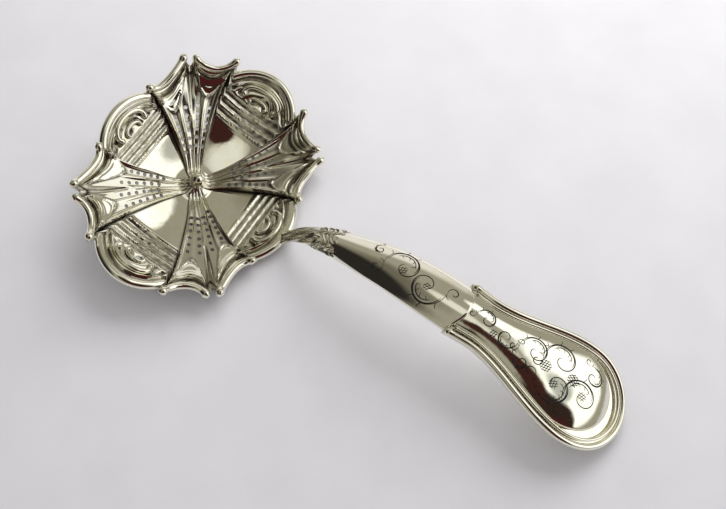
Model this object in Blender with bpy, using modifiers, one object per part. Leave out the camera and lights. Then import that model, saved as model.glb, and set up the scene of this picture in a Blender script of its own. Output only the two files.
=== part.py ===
"""Silver sugar sifter ladle with a pierced, lobed bowl and an arched hollow handle.

Metres, +Z up. The ladle lies at rest on the plane z = 0, on the underside of its bowl and the
end of its handle. +X runs from the bowl to the handle, and the ladle is the same on both sides
of y = 0. The origin is under the middle of its bounding box. Lengths below are in millimetres;
mesh_object turns them into metres. Nothing on the ladle moves.
"""
import math

import bmesh
import bpy
from mathutils import Matrix, Vector

MM = 0.001
GAP = 0.3  # clearance between neighbouring pieces

# Bowl, in its own frame: x towards the handle, y across, z up from the floor of the lobes
BOWL_TILT = math.radians(17)  # handle side down
LOBE_X = 25.4  # middle of the bowl to the rim wire of a lobe, along the handle
LOBE_Y = 33.0  # and across it
LOBE_CURL = 0.09  # how far a lobe's rim draws in towards its ends, as a share of its radius
LOBE_DEPTH = 8.6
RIM_TURN_UP = 0.15  # share of the depth that comes only close to the rim
BOWL_SHEET = 0.8  # thickness of the bowl's metal
FAN_ANGLE = math.radians(49)  # middle of a fan, from the handle's direction
FAN_HALF_ALONG = math.radians(26.2)  # half-width of a fan at its tip, beside a lobe along the handle
FAN_HALF_ACROSS = math.radians(22.3)  # and beside a lobe across it
FAN_WAIST = 0.78  # width of a fan inside its tips, as a share of its width at the tips
FAN_CLOSING = 0.9  # how far neighbouring fans close up round the boss
FAN_CLOSING_REACH = 0.16  # and over what share of the bowl's radius
FAN_RISE = 2.5  # fan above the lobes
FAN_FALL = 0.72  # share of that rise that is gone again at the tips
FAN_FOOT = (0.08, 0.5)  # where a fan rises out of the dish, as shares of the bowl's radius
TIP_ALONG = 25.8  # middle of the bowl to the ball tips next to a lobe on the handle's line
TIP_MIDDLE = 31.4  # to the pair in the middle of a fan
TIP_ACROSS = 32.7  # and to those next to a lobe across it
SCALLOP_SAG = 3.3
SCALLOP_SQUARENESS = 0.7  # below 1, a scallop is fuller than a parabola
NOTCH_HALF = 0.1  # half-width of the notch between a fan's halves, as a share of the fan
TIP_CUT = 0.9  # extra clearance of the sheet at the ball tips, as a share of the usual one
VALLEY_DEPTH = 1.3  # fold between a fan's halves
VALLEY_HALF = 0.14
VALLEY_START = 0.6
FLUTE_PITCH = 0.47  # spacing of the flutes across a fan, as a share of its half-width
FLUTE_HEIGHT = 0.35
FLUTE_START = (0.2, 0.45)  # where the flutes come up and die away, as shares of the bowl's radius
FLUTE_END = (0.62, 0.8)
CENTRE_RISE = 2.3  # seat of the boss above the floor of the lobes
CENTRE_RADIUS = 2.4
RIM_WIRE = 0.95  # radii of the wires
TIP_BALL = 1.1
TIP_POINT = 0.55
LOBE_WIRE = 1.1
SCROLL_WIRE = 0.6
COLLAR_WIRE = 0.45
RIM_LIFT = 0.5  # rim wires above the edge of the sheet
LOBE_WIRE_START = 0.17  # where a lobe's wire starts and ends, clear of the fans' tips
SCROLL_REACH = 0.8  # middle of a scroll, as a share of its lobe's radius
SCROLL_DEPTH = 2.3
SCROLL_HALF_WIDTH = 4.4
SCROLL_TURN = math.radians(125)  # how far a scroll curls round to each side
SCROLL_TAPER = 0.45
BOSS_RADIUS = 1.75
COLLAR_RADIUS = 1.65
BOSS_LEVEL = CENTRE_RISE + BOSS_RADIUS + GAP
EDGE_INSET = RIM_WIRE + GAP
HOLE_RADIUS = 0.5
HOLE_LINES = (-1.5, -0.5, 0.5, 1.5)  # across a fan, in flutes
HOLES_PER_LINE = 6
HOLE_FIRST = 0.33  # first and last hole of a line, as shares of the bowl's radius
HOLE_LAST = 0.66
HOLE_TURN = math.radians(13)  # keeps the corners of a hole off the flutes' lines
FOOT_FLAT = 0.08  # worn off the underside where the bowl touches the table

# Handle: x from the middle of the bowl and z above the table, at stations along its arch
HANDLE_LINE = ((27.6, 3.3), (31.0, 7.9), (36.0, 11.8), (45.0, 15.3), (58.0, 17.7), (74.0, 16.4),
               (92.0, 12.6), (107.0, 7.6), (118.0, 0.75))
HANDLE_SHEET = 0.7
NECK_START = 28.3
NECK_END = 35.6
NECK_HALF_START = 1.7
NECK_HALF_END = 2.8
NECK_THICK_START = 1.0  # half-thicknesses
NECK_THICK_END = 1.4
LEAVES = 6
LEAF_START = NECK_END + GAP
LEAF_END = 42.2
LEAF_HALF_END = 3.9
LEAF_THICK_END = 2.0
LEAF_CARVING = 0.24  # depth of the clefts between the leaves' tips, as a share of the knop's size
LEAF_LIFT = 0.4  # middle of the leaves' tips above the handle's line
SHANK_START = LEAF_END + GAP
SHANK_END = 73.8
SHANK_ARC = 2.6  # how far the middle of the shank reaches over the blade
SHANK_HALF_START = 3.5
SHANK_HALF_END = 6.3
SHANK_REACH = math.radians(58)  # half of the arc that is the shank's front
SHANK_BASE = 0.6  # edge of the front above the handle's line
SHANK_TOP_START = 2.3
SHANK_TOP_END = 3.3
BLADE_START = SHANK_END + GAP
SHOULDER_HALF = 7.4
WAIST_X = 80.0
WAIST_HALF = 7.0
ROUND_X = 105.6  # centre and radius of the blade's round end
ROUND_RADIUS = 12.4
BORDER_WIRE = 0.85
THREAD_WIRE = 0.4
THREAD_INSET = 2 * BORDER_WIRE + GAP + THREAD_WIRE
THREAD_START = BLADE_START + 1.4
TRAY_START = SHANK_END + SHANK_ARC / 2
PANEL_START = SHANK_END + SHANK_ARC + GAP
PANEL_INSET = THREAD_INSET + THREAD_WIRE + 0.4
PANEL_ROUND_X = 103.6
PANEL_DOME_START = 0.9  # rise of the panel towards its middle line, at the waist
PANEL_DOME_END = 1.5  # and where it is widest

# Levels above the handle's line, which runs between its back and front sheets
BACK_TOP = -GAP / 2
FRONT_TOP = GAP / 2 + HANDLE_SHEET
BORDER_LEVEL = BACK_TOP + GAP + BORDER_WIRE
THREAD_LEVEL = FRONT_TOP + GAP + THREAD_WIRE
PANEL_TOP = FRONT_TOP + GAP + HANDLE_SHEET

# The origin is under the middle of the whole ladle, so the middle of the bowl is at -X
FAR_EDGE = -(LOBE_X + LOBE_WIRE) * math.cos(BOWL_TILT) + LOBE_DEPTH * math.sin(BOWL_TILT)
BOWL_X = -(FAR_EDGE + ROUND_X + ROUND_RADIUS) / 2

SILVER = (0.88, 0.87, 0.84)


def clear_scene():
    for item in list(bpy.data.objects):
        bpy.data.objects.remove(item, do_unlink=True)


def new_collection(name):
    collection = bpy.data.collections.new(name)
    bpy.context.scene.collection.children.link(collection)
    return collection


def silver(name, roughness, tone=1.0):
    """Polished silver, darker where tone is below 1."""
    material = bpy.data.materials.new(name)
    material.use_nodes = True
    shader = material.node_tree.nodes["Principled BSDF"]
    shader.inputs["Base Color"].default_value = (*(tone * value for value in SILVER), 1.0)
    shader.inputs["Metallic"].default_value = 1.0
    shader.inputs["Roughness"].default_value = roughness
    return material


def mesh_object(name, points, faces, collection, material, closed=False):
    """An object from points in millimetres, shaded smooth except at sharp edges."""
    mesh = bpy.data.meshes.new(name)
    mesh.from_pydata([tuple(MM * float(value) for value in point) for point in points], [], faces)
    shape = bmesh.new()
    shape.from_mesh(mesh)
    bmesh.ops.remove_doubles(shape, verts=shape.verts, dist=1e-6)
    if closed:
        bmesh.ops.recalc_face_normals(shape, faces=shape.faces)
    shape.to_mesh(mesh)
    shape.free()
    mesh.shade_smooth()
    mesh.set_sharp_from_angle(angle=math.radians(40))
    item = bpy.data.objects.new(name, mesh)
    item.data.materials.append(material)
    collection.objects.link(item)
    return item


def grid_faces(rows, columns, wrap=False):
    """Quads over a grid of points stored row by row, facing row direction x column direction."""
    faces = []
    for row in range(rows - 1):
        for column in range(columns if wrap else columns - 1):
            after = (column + 1) % columns
            faces.append((row * columns + column, (row + 1) * columns + column,
                          (row + 1) * columns + after, row * columns + after))
    return faces


def solidify(item, thickness):
    """Give an open surface a thickness in millimetres, under its top."""
    modifier = item.modifiers.new("Thickness", "SOLIDIFY")
    modifier.thickness = thickness * MM
    modifier.offset = -1.0


def smooth_step(value, low, high):
    share = min(1.0, max(0.0, (value - low) / (high - low)))
    return share * share * (3.0 - 2.0 * share)


def tube(name, points, radii, collection, material, resolution=1, cyclic=False):
    """A round wire through points in millimetres, with a radius at each."""
    curve = bpy.data.curves.new(name, "CURVE")
    curve.dimensions = "3D"
    curve.bevel_depth = MM
    curve.bevel_resolution = resolution
    curve.use_fill_caps = not cyclic
    spline = curve.splines.new("POLY")
    spline.points.add(len(points) - 1)
    for target, point, radius in zip(spline.points, points, radii):
        target.co = (*(MM * float(value) for value in point), 1.0)
        target.radius = float(radius)
    spline.use_cyclic_u = cyclic
    spline.use_smooth = True
    item = bpy.data.objects.new(name, curve)
    curve.materials.append(material)
    collection.objects.link(item)
    return item


def metres(matrix):
    """A placement in millimetres, turned into metres."""
    return Matrix.Translation(matrix.translation * MM) @ matrix.to_3x3().to_4x4()


def cylinder(name, radius, depth, sides, collection):
    """A cutter: an upright prism about the origin, sizes in millimetres."""
    bpy.ops.mesh.primitive_cylinder_add(vertices=sides, radius=radius * MM, depth=depth * MM)
    return take_active(name, collection, None)


def take_active(name, collection, material):
    """Name the object just made, move it to a collection and give it a material."""
    item = bpy.context.view_layer.objects.active
    item.name = name
    item.data.name = name
    for owner in list(item.users_collection):
        owner.objects.unlink(item)
    collection.objects.link(item)
    if material:
        item.data.materials.append(material)
        item.data.shade_smooth()
    return item


# ---------------------------------------------------------------- bowl

HALF_FAN = (NOTCH_HALF, FLUTE_PITCH / 2, FLUTE_PITCH, 1.5 * FLUTE_PITCH, 2.0 * FLUTE_PITCH, 1.0)
FAN_PLACES = tuple(-place for place in reversed(HALF_FAN)) + (0.0,) + HALF_FAN
LOBE_STEPS = 5
ROWS = (0.09, 0.15, 0.23, 0.33, 0.43, 0.53, 0.63, 0.73, 0.83, 0.92, 1.0)


def bowl_floor(x, y):
    """Height of the lobes' dish, rising in the middle to the seat of the boss."""
    share = math.hypot(x / LOBE_X, y / LOBE_Y)
    dish = LOBE_DEPTH * ((1.0 - RIM_TURN_UP) * share ** 2 + RIM_TURN_UP * share ** 4)
    return dish + CENTRE_RISE * math.exp(-(math.hypot(x, y) / CENTRE_RADIUS) ** 2)


def lobe_radius(angle, place=0.5):
    """Radius of a lobe's rim wire, at an angle from the handle's direction and a place on the lobe."""
    oval = 1.0 / math.hypot(math.cos(angle) / LOBE_X, math.sin(angle) / LOBE_Y)
    return oval * (1.0 - LOBE_CURL * (2.0 * place - 1.0) ** 2)


def fan_middle(fan):
    """Direction of the middle of a fan; the four fans are numbered anticlockwise from the handle."""
    return (FAN_ANGLE, math.pi - FAN_ANGLE, math.pi + FAN_ANGLE, 2 * math.pi - FAN_ANGLE)[fan]


def towards_across(fan, place):
    """Whether a place on a fan, from -1 to 1 anticlockwise, is on the side of an across lobe."""
    return place > 0 if fan % 2 == 0 else place < 0


def fan_half(fan, place, share):
    """Half-angle of a fan on the side of a place; close to the boss it widens to its neighbour."""
    across = towards_across(fan, place)
    tip = FAN_HALF_ACROSS if across else FAN_HALF_ALONG
    neighbour = math.pi / 2 - FAN_ANGLE if across else FAN_ANGLE
    half = tip * (FAN_WAIST + (1.0 - FAN_WAIST) * share ** 4)
    return half + FAN_CLOSING * (neighbour - half) * math.exp(-(share / FAN_CLOSING_REACH) ** 2)


def fan_direction(fan, place, share):
    """Direction of a place on a fan, at a share of the bowl's radius."""
    return fan_middle(fan) + place * fan_half(fan, place, share)


def scallop_radius(fan, place):
    """Radius of the line of a fan's rim wires, which dips between the ball tips."""
    side_tip = TIP_ACROSS if towards_across(fan, place) else TIP_ALONG
    reach = max(0.0, (abs(place) - NOTCH_HALF) / (1.0 - NOTCH_HALF))
    dip = SCALLOP_SAG * (1.0 - (2.0 * reach - 1.0) ** 2) ** SCALLOP_SQUARENESS
    return TIP_MIDDLE + (side_tip - TIP_MIDDLE) * reach - dip


def fan_edge(fan, place):
    """Radius of the edge of a fan's sheet, inside its rim wires."""
    reach = (abs(place) - NOTCH_HALF) / (1.0 - NOTCH_HALF)
    inset = EDGE_INSET * (1.0 + TIP_CUT * abs(2.0 * reach - 1.0) ** 3)
    return scallop_radius(fan, place) - inset


def fan_rise(place, share):
    """Height of a fan above the lobes' dish."""
    if abs(place) == 1.0:
        return 0.0
    lift = FAN_RISE * smooth_step(share, *FAN_FOOT) * (1.0 - FAN_FALL * share ** 3)
    flutes = FLUTE_HEIGHT * math.cos(2.0 * math.pi * place / FLUTE_PITCH)
    flutes *= smooth_step(share, *FLUTE_START) * (1.0 - smooth_step(share, *FLUTE_END))
    valley = VALLEY_DEPTH * math.exp(-(place / VALLEY_HALF) ** 2)
    valley *= smooth_step(share, VALLEY_START, 1.0)
    return lift + flutes - valley


def fan_point(fan, place, share):
    radius = share * fan_edge(fan, place)
    direction = fan_direction(fan, place, share)
    x = radius * math.cos(direction)
    y = radius * math.sin(direction)
    return x, y, bowl_floor(x, y) + fan_rise(place, share)


def lobe_point(fan, place, share):
    """A point on the lobe that follows a fan; place runs from 0 to 1 anticlockwise."""
    start = fan_direction(fan, 1.0, share)
    end = fan_direction((fan + 1) % 4, -1.0, share)
    if end < start:
        end += 2 * math.pi
    direction = start + place * (end - start)
    radius = share * (lobe_radius(direction, place) - LOBE_WIRE - GAP)
    x = radius * math.cos(direction)
    y = radius * math.sin(direction)
    return x, y, bowl_floor(x, y)


def bowl_row(share):
    """One ring of the bowl's grid."""
    ring = []
    for fan in range(4):
        ring += [fan_point(fan, place, share) for place in FAN_PLACES]
        ring += [lobe_point(fan, step / LOBE_STEPS, share) for step in range(1, LOBE_STEPS)]
    return ring


def contact_lift():
    """Height of the bowl's origin above the table; the underside is worn flat where it touches."""
    lowest = 0.0
    for step in range(1000):
        x = LOBE_X * step / 1000
        under = bowl_floor(x, 0.0) - BOWL_SHEET
        lowest = min(lowest, under * math.cos(BOWL_TILT) - x * math.sin(BOWL_TILT))
    return -lowest - FOOT_FLAT


def bowl_matrix():
    """From the bowl's frame to the ladle's, in millimetres."""
    return Matrix.Translation((BOWL_X, 0.0, contact_lift())) @ Matrix.Rotation(BOWL_TILT, 4, "Y")


def to_ladle(points):
    matrix = bowl_matrix()
    return [tuple(matrix @ Vector(point)) for point in points]


def hole_cutter(name, fan, place, share, collection):
    """A prism through the sheet, square to the bowl's frame."""
    x, y, z = fan_point(fan, place, share)
    item = cylinder(name, HOLE_RADIUS, 6.0, 6, collection)
    turn = Matrix.Rotation(fan_direction(fan, place, share) + HOLE_TURN, 4, "Z")
    item.matrix_world = metres(bowl_matrix() @ Matrix.Translation((x, y, z)) @ turn)
    item.hide_render = True
    item.display_type = "WIRE"
    return item


def bowl_cutters(collection):
    """The pierced holes of the fans, and the table plane that wears the underside flat."""
    for fan in range(4):
        for line, place in enumerate(HOLE_LINES):
            for hole in range(HOLES_PER_LINE):
                share = HOLE_FIRST + (HOLE_LAST - HOLE_FIRST) * hole / (HOLES_PER_LINE - 1)
                name = f"hole_{fan}_{line}_{hole}"
                hole_cutter(name, fan, place * FLUTE_PITCH, share, collection)
    plane = cylinder("table_plane", 40.0, 10.0, 16, collection)
    plane.location = (BOWL_X * MM, 0.0, -5.0 * MM)
    plane.hide_render = True
    plane.display_type = "WIRE"


def bowl_shell(collection, cutters, material):
    """The bowl's sheet, closed by hand: its flutes are too tight for an even offset of the surface."""
    top = [(0.0, 0.0, bowl_floor(0.0, 0.0))]
    for share in ROWS:
        top += bowl_row(share)
    under = [(x, y, z - BOWL_SHEET) for x, y, z in top]
    columns = (len(top) - 1) // len(ROWS)
    shift = len(top)
    rim = 1 + (len(ROWS) - 1) * columns
    faces = []
    for column in range(columns):
        after = (column + 1) % columns
        faces.append((0, 1 + column, 1 + after))
        faces.append((shift, shift + 1 + after, shift + 1 + column))
        faces.append((rim + column, shift + rim + column, shift + rim + after, rim + after))
    for face in grid_faces(len(ROWS), columns, wrap=True):
        faces.append(tuple(1 + corner for corner in face))
        faces.append(tuple(shift + 1 + corner for corner in reversed(face)))
    points = to_ladle(top + under)
    item = mesh_object("bowl_shell", points, faces, collection, material, closed=True)
    cut = item.modifiers.new("Pierced", "BOOLEAN")
    cut.operand_type = "COLLECTION"
    cut.collection = cutters
    cut.solver = "EXACT"


def beside(points, distance):
    """Points moved level, square to their path and away from the bowl's middle."""
    moved = []
    for index, (x, y, z) in enumerate(points):
        before = points[max(index - 1, 0)]
        after = points[min(index + 1, len(points) - 1)]
        along = Vector((after[0] - before[0], after[1] - before[1])).normalized()
        outward = Vector((along.y, -along.x))
        if outward.dot(Vector((x, y))) < 0:
            outward = -outward
        moved.append((x + distance * outward.x, y + distance * outward.y, z))
    return moved


def scallop_wire(fan, half, collection, material):
    """The rolled wire round one scallop of a fan, swelling to a ball at each end."""
    steps = 12
    path = []
    for step in range(steps + 1):
        reach = 0.5 - 0.5 * math.cos(math.pi * step / steps)
        place = half * (NOTCH_HALF + (1.0 - NOTCH_HALF) * reach)
        radius = scallop_radius(fan, place)
        direction = fan_direction(fan, place, 1.0)
        height = fan_point(fan, place, 1.0)[2] + RIM_LIFT
        path.append((radius * math.cos(direction), radius * math.sin(direction), height))
    radii = [RIM_WIRE] * len(path)
    radii[0] = radii[-1] = TIP_POINT
    radii[1] = radii[-2] = TIP_BALL
    number = 2 * fan + (1 if half < 0 else 2)
    tube(f"scallop_wire_{number}", to_ladle(path), radii, collection, material)


def lobe_wire(fan, collection, material):
    """The rolled wire round the rim of the lobe that follows a fan."""
    steps = 12
    places = [LOBE_WIRE_START + (1.0 - 2 * LOBE_WIRE_START) * step / steps for step in range(steps + 1)]
    path = beside([lobe_point(fan, place, 1.0) for place in places], LOBE_WIRE + GAP)
    radii = [LOBE_WIRE] * len(path)
    radii[0] = radii[-1] = 0.7 * LOBE_WIRE
    tube(f"lobe_wire_{fan + 1}", to_ladle(path), radii, collection, material)


def lobe_scroll(fan, collection, material):
    """The C-shaped scroll inside a lobe's rim, thin at its curled ends."""
    steps = 14
    middle = (0.5 + 0.5 * fan) * math.pi
    reach = lobe_radius(middle) * SCROLL_REACH
    path = []
    radii = []
    for step in range(steps + 1):
        place = 2.0 * step / steps - 1.0
        radial = reach + SCROLL_DEPTH * math.cos(SCROLL_TURN * place)
        sideways = SCROLL_HALF_WIDTH * math.sin(SCROLL_TURN * place)
        x = radial * math.cos(middle) - sideways * math.sin(middle)
        y = radial * math.sin(middle) + sideways * math.cos(middle)
        path.append((x, y, bowl_floor(x, y) + SCROLL_WIRE + GAP))
        radii.append(SCROLL_WIRE * (1.0 - SCROLL_TAPER * abs(place) ** 3))
    tube(f"lobe_scroll_{fan + 1}", to_ladle(path), radii, collection, material)


def centre_boss(collection, material):
    """The ball in the middle of the bowl."""
    bpy.ops.mesh.primitive_uv_sphere_add(segments=16, ring_count=10, radius=BOSS_RADIUS * MM)
    ball = take_active("centre_boss", collection, material)
    ball.matrix_world = metres(bowl_matrix() @ Matrix.Translation((0.0, 0.0, BOSS_LEVEL)))


def boss_collar(collection, material):
    """The beaded ring that the ball sits in, a gap away from the ball all round."""
    bpy.ops.mesh.primitive_torus_add(major_radius=COLLAR_RADIUS * MM, minor_radius=COLLAR_WIRE * MM,
                                     major_segments=20, minor_segments=6)
    ring = take_active("boss_collar", collection, material)
    drop = math.sqrt((BOSS_RADIUS + COLLAR_WIRE + GAP) ** 2 - COLLAR_RADIUS ** 2)
    height = BOSS_LEVEL - drop
    ring.matrix_world = metres(bowl_matrix() @ Matrix.Translation((0.0, 0.0, height)))


# ---------------------------------------------------------------- handle

def handle_height(x):
    """Height of the handle's line above the table, x from the bowl's middle."""
    index = 0
    while index < len(HANDLE_LINE) - 2 and x > HANDLE_LINE[index + 1][0]:
        index += 1
    slopes = [handle_slope(index), handle_slope(index + 1)]
    (x0, z0), (x1, z1) = HANDLE_LINE[index], HANDLE_LINE[index + 1]
    width = x1 - x0
    t = (x - x0) / width
    return ((2 * t ** 3 - 3 * t ** 2 + 1) * z0 + (t ** 3 - 2 * t ** 2 + t) * width * slopes[0]
            + (3 * t ** 2 - 2 * t ** 3) * z1 + (t ** 3 - t ** 2) * width * slopes[1])


def handle_slope(station):
    """Slope of the handle's line at one of its stations."""
    before = HANDLE_LINE[max(station - 1, 0)]
    after = HANDLE_LINE[min(station + 1, len(HANDLE_LINE) - 1)]
    return (after[1] - before[1]) / (after[0] - before[0])


def on_handle(x, across, up):
    """A point beside and above the handle's line, up measured square to the line."""
    step = 0.05
    slope = (handle_height(x + step) - handle_height(x - step)) / (2 * step)
    length = math.hypot(1.0, slope)
    return (BOWL_X + x - up * slope / length, across, handle_height(x) + up / length)


def blade_half_width(x):
    """Half-width of the blade's outline: shoulders, a waist behind them, and a round end."""
    if x < WAIST_X:
        return WAIST_HALF + (SHOULDER_HALF - WAIST_HALF) * (WAIST_X - x) / (WAIST_X - BLADE_START)
    if x < ROUND_X:
        return WAIST_HALF + (ROUND_RADIUS - WAIST_HALF) * smooth_step(x, WAIST_X, ROUND_X)
    return math.sqrt(max(0.0, ROUND_RADIUS ** 2 - (x - ROUND_X) ** 2))


def blade_side(inset, start, centre, straight=12, turn=9):
    """Half the outline of the blade, moved inwards: places (x, across) from its start to its end."""
    radius = blade_half_width(centre) - inset
    side = []
    for step in range(straight):
        x = start + (centre - start) * step / straight
        side.append((x, blade_half_width(x) - inset))
    for step in range(turn + 1):
        angle = math.pi / 2 * step / turn
        side.append((centre + radius * math.sin(angle), radius * math.cos(angle)))
    return side


def shank_half_width(x):
    """Half-width of the shank, which widens quickly from the leaf and then runs straight."""
    share = (x - SHANK_START) / (SHANK_END - SHANK_START)
    return SHANK_HALF_START + (SHANK_HALF_END - SHANK_HALF_START) * (1.0 - (1.0 - share) ** 2)


def strip(name, side, level, collection, material, columns=9):
    """A sheet along the handle between a side and its mirror; level(x, across) is its top."""
    points = []
    for x, half in side:
        for column in range(columns):
            across = half * math.sin(math.pi / 2 * (2.0 * column / (columns - 1) - 1.0))
            points.append(on_handle(x, across, level(x, across)))
    item = mesh_object(name, points, grid_faces(len(side), columns), collection, material)
    solidify(item, HANDLE_SHEET)


def loft(name, rings, collection, material):
    """A closed body through rings of points, capped at both ends."""
    count = len(rings[0])
    points = [point for ring in rings for point in ring]
    faces = grid_faces(len(rings), count, wrap=True)
    faces.append(tuple(range(count)))
    faces.append(tuple(range(len(points) - count, len(points))))
    mesh_object(name, points, faces, collection, material, closed=True)


def neck(collection, material):
    """The cast neck that springs from the rim of the bowl and widens towards the leaves."""
    steps = 7
    sides = 12
    rings = []
    for step in range(steps + 1):
        share = step / steps
        x = NECK_START + (NECK_END - NECK_START) * share
        half_width = NECK_HALF_START + (NECK_HALF_END - NECK_HALF_START) * share ** 1.4
        half_thick = NECK_THICK_START + (NECK_THICK_END - NECK_THICK_START) * share
        turns = [2 * math.pi * side / sides for side in range(sides)]
        rings.append([on_handle(x, half_width * math.cos(turn), half_thick * math.sin(turn))
                      for turn in turns])
    loft("neck", rings, collection, material)


def leaf_knop(collection, material):
    """The cast cluster of leaves where the neck becomes the shank."""
    steps = 8
    sides = 4 * LEAVES
    rings = []
    for step in range(steps + 1):
        share = step / steps
        x = LEAF_START + (LEAF_END - LEAF_START) * share
        half_width = NECK_HALF_END + (LEAF_HALF_END - NECK_HALF_END) * share
        half_thick = NECK_THICK_END + (LEAF_THICK_END - NECK_THICK_END) * share
        ring = []
        for side in range(sides):
            turn = 2 * math.pi * side / sides
            leaf = 1.0 - LEAF_CARVING * share * (0.5 - 0.5 * math.cos(LEAVES * turn))
            across = half_width * leaf * math.cos(turn)
            up = half_thick * leaf * math.sin(turn) + LEAF_LIFT * share
            ring.append(on_handle(x, across, up))
        rings.append(ring)
    loft("leaf_knop", rings, collection, material)


def shank_level(x, place):
    """Height of the shank's front above the handle's line: an arc from side to side."""
    share = min(1.0, (x - SHANK_START) / (SHANK_END - SHANK_START))
    top = SHANK_TOP_START + (SHANK_TOP_END - SHANK_TOP_START) * share
    flat = math.cos(SHANK_REACH)
    arc = math.sqrt(1.0 - (place * math.sin(SHANK_REACH)) ** 2)
    return SHANK_BASE + (top - SHANK_BASE) * (arc - flat) / (1.0 - flat)


def shank_front(collection, material):
    """The arched front of the hollow shank, ending in an arc over the blade."""
    rows = 10
    columns = 13
    points = []
    for row in range(rows + 1):
        for column in range(columns):
            place = math.sin(math.pi / 2 * (2.0 * column / (columns - 1) - 1.0))
            end = SHANK_END + SHANK_ARC * (1.0 - place ** 2)
            x = SHANK_START + (end - SHANK_START) * row / rows
            points.append(on_handle(x, place * shank_half_width(x), shank_level(x, place)))
    item = mesh_object("shank_front", points, grid_faces(rows + 1, columns), collection, material)
    solidify(item, HANDLE_SHEET)


def shank_back(collection, material):
    """The flat back of the hollow shank."""
    steps = 10
    xs = [SHANK_START + (SHANK_END - SHANK_START) * step / steps for step in range(steps + 1)]
    side = [(x, shank_half_width(x)) for x in xs]
    strip("shank_back", side, lambda x, across: BACK_TOP, collection, material, 3)


def panel_level(x, across):
    """Height of the panel above the handle's line: domed to the middle, and round at its end."""
    half = blade_half_width(min(x, PANEL_ROUND_X)) - PANEL_INSET
    off = min(half, math.hypot(max(0.0, x - PANEL_ROUND_X), across))
    widening = smooth_step(x, WAIST_X, PANEL_ROUND_X)
    dome = PANEL_DOME_START + (PANEL_DOME_END - PANEL_DOME_START) * widening
    return PANEL_TOP + dome * (1.0 - (off / half) ** 2)


def blade_sheets(collection, material):
    """The flat back of the blade, the tray in front of it and the raised panel on the tray."""
    back = blade_side(0.0, BLADE_START, ROUND_X)
    strip("blade_back", back, lambda x, across: BACK_TOP, collection, material, 5)
    tray = blade_side(2 * BORDER_WIRE + GAP, TRAY_START, ROUND_X)
    strip("blade_tray", tray, lambda x, across: FRONT_TOP, collection, material, 5)
    panel = blade_side(PANEL_INSET, PANEL_START, PANEL_ROUND_X)
    strip("blade_panel", panel, panel_level, collection, material)


def blade_wire(name, inset, radius, start, level, collection, material):
    """A wire that follows the blade's outline from one shoulder to the other."""
    side = blade_side(inset, start, ROUND_X)
    outline = side + [(x, -across) for x, across in reversed(side[:-1])]
    path = [on_handle(x, across, level) for x, across in outline]
    tube(name, path, [radius] * len(path), collection, material)


def build():
    clear_scene()
    parts = new_collection("sifter_ladle")
    cutters = new_collection("cutters")
    polished = silver("polished_silver", 0.12)
    bowl_silver = silver("bowl_silver", 0.2, 0.92)
    cast = silver("cast_silver", 0.3, 0.85)
    bowl_cutters(cutters)
    bowl_shell(parts, cutters, bowl_silver)
    for fan in range(4):
        scallop_wire(fan, -1.0, parts, polished)
        scallop_wire(fan, 1.0, parts, polished)
        lobe_wire(fan, parts, polished)
        lobe_scroll(fan, parts, bowl_silver)
    centre_boss(parts, polished)
    boss_collar(parts, cast)
    neck(parts, cast)
    leaf_knop(parts, cast)
    shank_front(parts, polished)
    shank_back(parts, polished)
    blade_sheets(parts, polished)
    blade_wire("blade_border", BORDER_WIRE, BORDER_WIRE, BLADE_START, BORDER_LEVEL,
               parts, polished)
    blade_wire("blade_thread", THREAD_INSET, THREAD_WIRE, THREAD_START, THREAD_LEVEL,
               parts, polished)


build()
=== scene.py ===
import math

import bmesh
import bpy
from mathutils import Matrix, Vector


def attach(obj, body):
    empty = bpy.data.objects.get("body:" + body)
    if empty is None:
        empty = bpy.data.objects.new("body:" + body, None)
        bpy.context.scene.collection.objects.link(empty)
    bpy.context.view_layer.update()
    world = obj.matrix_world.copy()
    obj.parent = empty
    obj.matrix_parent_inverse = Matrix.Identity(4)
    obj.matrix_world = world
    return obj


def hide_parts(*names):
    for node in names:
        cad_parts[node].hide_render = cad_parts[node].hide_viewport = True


# Looks of the silver sugar sifter ladle: struck and pierced bowl, cast neck, engraved handle.
# Lengths are in millimetres, in the CAD model's own frame; they turn into metres as they are used.

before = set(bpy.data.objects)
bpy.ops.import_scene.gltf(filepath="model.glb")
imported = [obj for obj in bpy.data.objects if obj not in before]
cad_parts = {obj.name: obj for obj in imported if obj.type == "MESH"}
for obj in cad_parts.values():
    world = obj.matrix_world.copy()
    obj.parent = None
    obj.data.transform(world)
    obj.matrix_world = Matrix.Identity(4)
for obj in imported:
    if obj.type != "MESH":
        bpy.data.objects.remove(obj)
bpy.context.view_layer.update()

MM = 0.001

# Bowl, in its own frame: x towards the handle, y across, z up from the floor of the lobes
BOWL_TILT = math.radians(17)  # handle side down
LOBE_X = 25.4  # middle of the bowl to the rim of a lobe, along the handle
LOBE_Y = 33.0  # and across it
LOBE_CURL = 0.09  # how far a lobe's rim draws in towards its ends, as a share of its radius
LOBE_DEPTH = 8.6
RIM_TURN_UP = 0.15  # share of the depth that comes only close to the rim
BOWL_SHEET = 0.8
FAN_ANGLE = math.radians(49)  # middle of a fan, from the handle's direction
FAN_HALF_ALONG = math.radians(26.2)  # half-width of a fan at its tip, beside a lobe along the handle
FAN_HALF_ACROSS = math.radians(22.3)  # and beside a lobe across it
FAN_WAIST = 0.78  # width of a fan inside its tips, as a share of its width at the tips
FAN_CLOSING = 0.9  # how far neighbouring fans close up round the boss
FAN_CLOSING_REACH = 0.16  # and over what share of the bowl's radius
FAN_RISE = 2.5  # fan above the lobes
FAN_FALL = 0.72  # share of that rise that is gone again at the tips
FAN_FOOT = (0.05, 0.5)  # where a fan rises out of the dish, as shares of the bowl's radius
TIP_ALONG = 25.8  # middle of the bowl to the ball tips next to a lobe on the handle's line
TIP_MIDDLE = 31.4  # to the pair in the middle of a fan
TIP_ACROSS = 32.7  # and to those next to a lobe across it
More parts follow.
